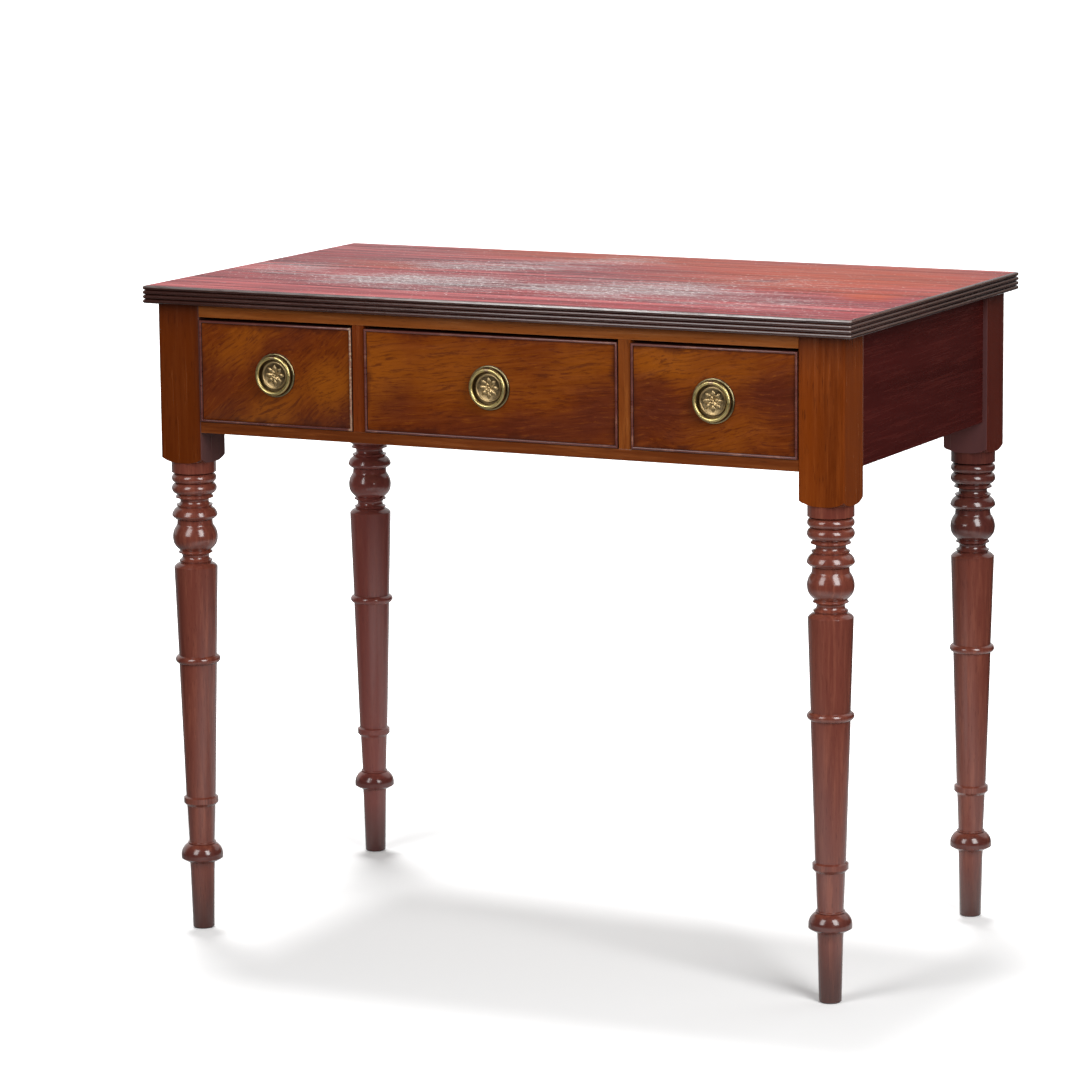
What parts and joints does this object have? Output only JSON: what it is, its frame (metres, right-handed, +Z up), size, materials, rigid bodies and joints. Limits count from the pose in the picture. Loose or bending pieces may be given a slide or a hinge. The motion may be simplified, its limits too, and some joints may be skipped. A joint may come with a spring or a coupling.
{
  "type": "writing table",
  "caption": "Mahogany writing table: reeded rectangular top, frieze drawers with cock beads and brass ring pulls, and turned tapering legs with ringed necks.",
  "frame": {"origin": "on the floor, under the middle of the table top", "axes": "+X along the long side to the sitter's right, -Y towards the sitter (the drawers open along -Y), +Z up"},
  "size_m": [0.854, 0.489, 0.74],
  "materials": {
    "top_mahogany": "worn polish",
    "frame_mahogany": "polished",
    "front_mahogany": "polished",
    "bead_mahogany": "polished, worn",
    "lining_wood": "unpolished",
    "brass": "aged",
    "iron": "dull"
  },
  "bodies": {
    "table_frame": {"table_top": "top_mahogany", "leg_front_left": "frame_mahogany", "leg_front_right": "frame_mahogany", "leg_back_left": "frame_mahogany", "leg_back_right": "frame_mahogany", "front_top_rail": "frame_mahogany", "front_bottom_rail": "frame_mahogany", "back_rail": "frame_mahogany", "side_rail_left": "frame_mahogany", "side_rail_right": "frame_mahogany", "drawer_divider_left": "frame_mahogany", "drawer_divider_right": "frame_mahogany", "outer_runner_left": "lining_wood", "outer_runner_right": "lining_wood", "inner_runner_left": "lining_wood", "inner_runner_right": "lining_wood", "outer_guide_left": "lining_wood", "outer_guide_right": "lining_wood", "inner_guide_left": "lining_wood", "inner_guide_right": "lining_wood", "outer_kicker_left": "lining_wood", "outer_kicker_right": "lining_wood", "inner_kicker_left": "lining_wood", "inner_kicker_right": "lining_wood", "drawer_stops": "lining_wood", "glue_blocks": "lining_wood", "top_screws": "iron"},
    "drawer_left": {"drawer_front_left": "front_mahogany", "drawer_side_left_left": "lining_wood", "drawer_side_left_right": "lining_wood", "drawer_back_left": "lining_wood", "drawer_bottom_left": "lining_wood", "cock_bead_left": "bead_mahogany", "handle_plate_left": "brass", "handle_post_left": "brass", "handle_nut_left": "brass"},
    "ring_left": {"handle_ring_left": "brass"},
    "drawer_centre": {"drawer_front_centre": "front_mahogany", "drawer_side_centre_left": "lining_wood", "drawer_side_centre_right": "lining_wood", "drawer_back_centre": "lining_wood", "drawer_bottom_centre": "lining_wood", "cock_bead_centre": "bead_mahogany", "handle_plate_centre": "brass", "handle_post_centre": "brass", "handle_nut_centre": "brass"},
    "ring_centre": {"handle_ring_centre": "brass"},
    "drawer_right": {"drawer_front_right": "front_mahogany", "drawer_side_right_left": "lining_wood", "drawer_side_right_right": "lining_wood", "drawer_back_right": "lining_wood", "drawer_bottom_right": "lining_wood", "cock_bead_right": "bead_mahogany", "handle_plate_right": "brass", "handle_post_right": "brass", "handle_nut_right": "brass"},
    "ring_right": {"handle_ring_right": "brass"}
  },
  "joints": [
    {"name": "drawer_left_slide", "type": "slide", "parent": "table_frame", "child": "drawer_left", "axis": [0, -1, 0], "range_m": [0, 0.3]},
    {"name": "ring_left_swing", "type": "hinge", "parent": "drawer_left", "child": "ring_left", "pos_m": [-0.2655, -0.2381, 0.6657], "axis": [-1, 0, 0], "range_deg": [0, 100]},
    {"name": "drawer_centre_slide", "type": "slide", "parent": "table_frame", "child": "drawer_centre", "axis": [0, -1, 0], "range_m": [0, 0.3]},
    {"name": "ring_centre_swing", "type": "hinge", "parent": "drawer_centre", "child": "ring_centre", "pos_m": [0, -0.2381, 0.6657], "axis": [-1, 0, 0], "range_deg": [0, 100]},
    {"name": "drawer_right_slide", "type": "slide", "parent": "table_frame", "child": "drawer_right", "axis": [0, -1, 0], "range_m": [0, 0.3]},
    {"name": "ring_right_swing", "type": "hinge", "parent": "drawer_right", "child": "ring_right", "pos_m": [0.2655, -0.2381, 0.6657], "axis": [-1, 0, 0], "range_deg": [0, 100]}
  ]
}
